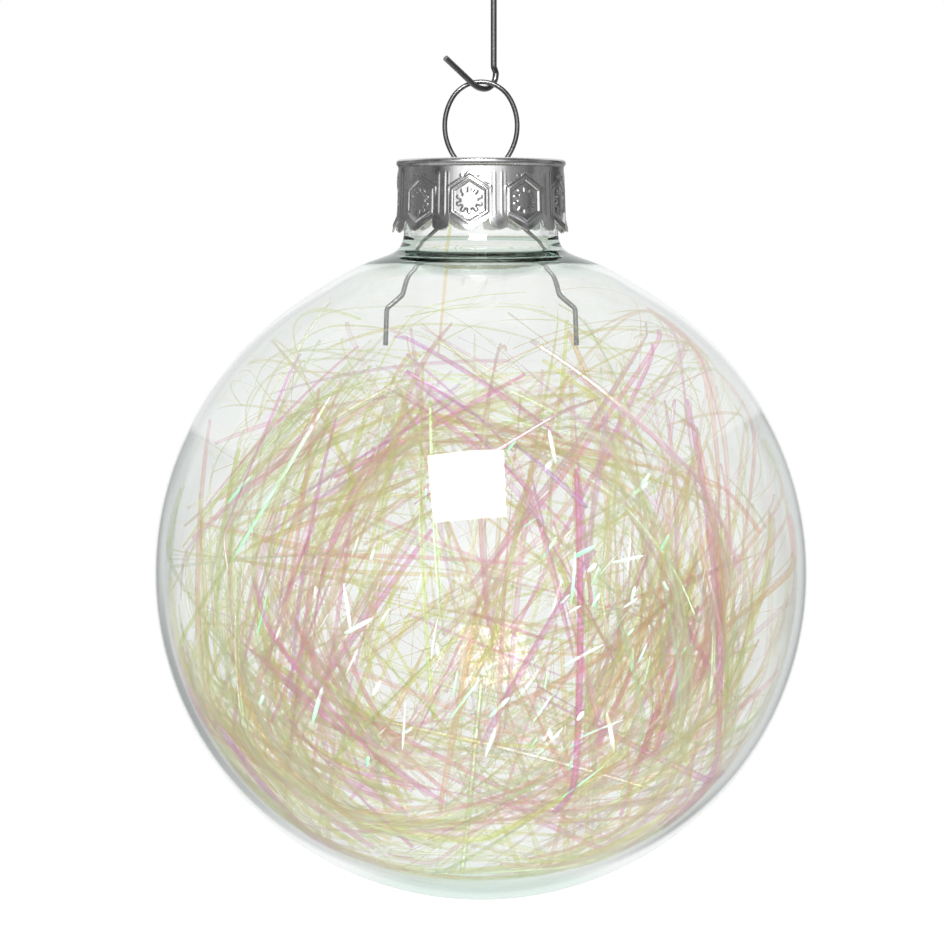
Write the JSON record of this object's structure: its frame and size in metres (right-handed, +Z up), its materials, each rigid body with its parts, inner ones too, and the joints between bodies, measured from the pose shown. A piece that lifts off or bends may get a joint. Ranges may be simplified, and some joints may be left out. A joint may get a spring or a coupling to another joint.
{
  "type": "glass ball ornament",
  "caption": "Clear glass ball with a stamped metal cap, a sprung wire loop, a wire hanging hook and a loose iridescent film filling.",
  "frame": {"origin": "the hanging point: the inside top of the hook's upper crook, where a twig or line bears", "axes": "+Z up along the hanging axis through the ball's centre, +X to the right in the wire loop's plane, -Y towards the viewer"},
  "size_m": [0.08, 0.08, 0.1385],
  "materials": {
    "clear_glass": "clear blown glass, gloss",
    "tinplate": "bright stamped tinplate",
    "loop_wire": "bright drawn wire",
    "hook_wire": "bright drawn wire",
    "iridescent_film": "thin clear film with a yellow-green and pink sheen"
  },
  "bodies": {
    "hook": {"wire_hook": "hook_wire"},
    "loop": {"spring_loop": "loop_wire"},
    "cap": {"cap": "tinplate"},
    "ball": {"glass_ball": "clear_glass"},
    "filling": {"tinsel_core": "iridescent_film", "tinsel_middle": "iridescent_film", "tinsel_outer": "iridescent_film"}
  },
  "joints": [
    {"name": "loop_swing", "type": "hinge", "parent": "hook", "child": "loop", "pos_m": [0, 0, -0.03752], "axis": [1, 0, 0], "range_deg": [-60, 60]},
    {"name": "loop_press", "type": "slide", "parent": "loop", "child": "cap", "axis": [0, 0, 1], "range_m": [0, 0.002]},
    {"name": "cap_lift", "type": "slide", "parent": "cap", "child": "ball", "axis": [0, 0, -1], "range_m": [0, 0.03], "deforming": ["spring_loop"]},
    {"name": "filling_shift", "type": "hinge", "parent": "ball", "child": "filling", "pos_m": [0, 0, -0.09777], "axis": [0, 0, 1], "range_deg": [-30, 30]}
  ]
}
